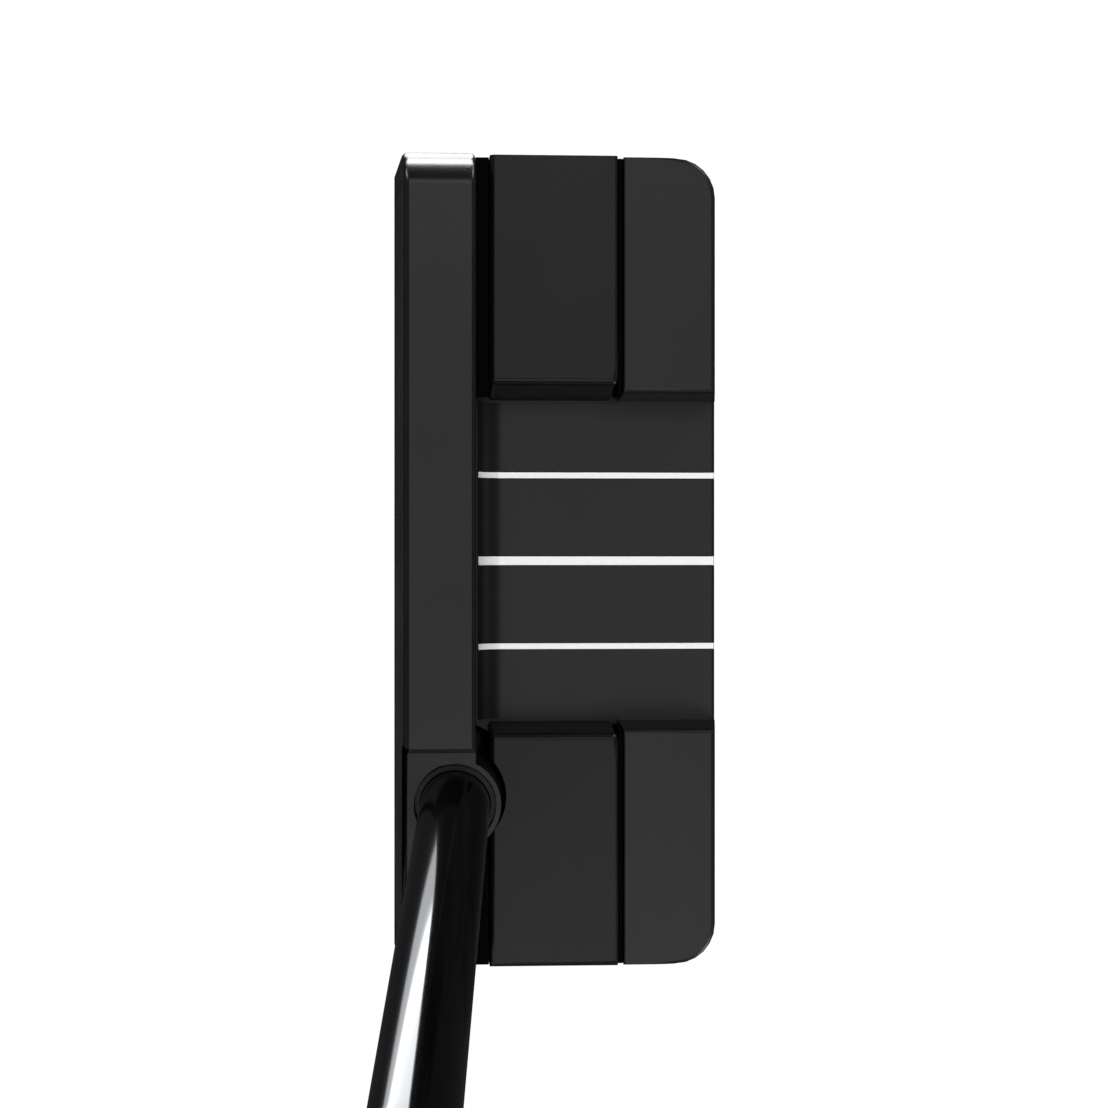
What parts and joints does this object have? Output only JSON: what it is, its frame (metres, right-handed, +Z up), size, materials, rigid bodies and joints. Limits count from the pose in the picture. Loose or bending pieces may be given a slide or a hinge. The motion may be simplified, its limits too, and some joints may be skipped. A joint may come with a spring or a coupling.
{
  "type": "mallet putter",
  "caption": "Mallet putter with a lofted blade, two raised wings beside a sunk sighting channel, a bent black shaft and a pistol grip.",
  "frame": {"origin": "centre of the flat sole, at the height of the ground when the club is held at address", "axes": "+Z up from the ground, -Y the way the face looks and the ball leaves, +X from toe to heel, towards the player"},
  "size_m": [0.38, 0.0551, 0.8176],
  "materials": {
    "black_steel": "satin black hard coat on stainless steel",
    "black_aluminium": "satin black anodised",
    "face_urethane": "matt black with fine raised dots",
    "elastomer": "matt",
    "bond": "dull adhesive",
    "white_paint": "white enamel fill",
    "shaft_black": "mirror gloss black on steel",
    "tape": "double-sided paper tape",
    "grip_rubber": "matt black moulded rubber",
    "screw_steel": "black oxide",
    "weight_steel": "turned stainless steel",
    "seal_rubber": "matt black"
  },
  "bodies": {
    "club": {"front_body": "black_steel", "rear_flange": "black_aluminium", "toe_wing_block": "black_steel", "heel_wing_block": "black_steel", "face_insert": "face_urethane", "insert_core": "elastomer", "insert_tape": "bond", "sight_line_toe": "white_paint", "sight_line_centre": "white_paint", "sight_line_heel": "white_paint", "shaft": "shaft_black", "shaft_bond": "bond", "tip_plug": "elastomer", "grip_tape": "tape", "grip": "grip_rubber", "grip_cap": "grip_rubber", "toe_wing_screw_inner": "screw_steel", "toe_wing_screw_outer": "screw_steel", "heel_wing_screw_inner": "screw_steel", "heel_wing_screw_outer": "screw_steel", "flange_screw_toe": "screw_steel", "flange_screw_middle": "screw_steel", "flange_screw_heel": "screw_steel"},
    "toe_weight": {"toe_sole_weight": "weight_steel", "toe_weight_seal": "seal_rubber"},
    "toe_screw": {"toe_weight_screw": "screw_steel"},
    "heel_weight": {"heel_sole_weight": "weight_steel", "heel_weight_seal": "seal_rubber"},
    "heel_screw": {"heel_weight_screw": "screw_steel"}
  },
  "joints": [
    {"name": "toe_weight_travel", "type": "slide", "parent": "club", "child": "toe_weight", "axis": [0, 0, -1], "range_m": [0, 0.007]},
    {"name": "toe_screw_turn", "type": "hinge", "parent": "toe_weight", "child": "toe_screw", "pos_m": [-0.042, 0.0125, 0], "axis": [0, 0, -1], "range_deg": [0, 3610]},
    {"name": "heel_weight_travel", "type": "slide", "parent": "club", "child": "heel_weight", "axis": [0, 0, -1], "range_m": [0, 0.007]},
    {"name": "heel_screw_turn", "type": "hinge", "parent": "heel_weight", "child": "heel_screw", "pos_m": [0.042, 0.0125, 0], "axis": [0, 0, -1], "range_deg": [0, 3610]}
  ],
  "couplings": [
    {"joint": "toe_screw_turn", "follows": "toe_weight_travel", "rad_per_m": 8976},
    {"joint": "heel_screw_turn", "follows": "heel_weight_travel", "rad_per_m": 8976}
  ]
}
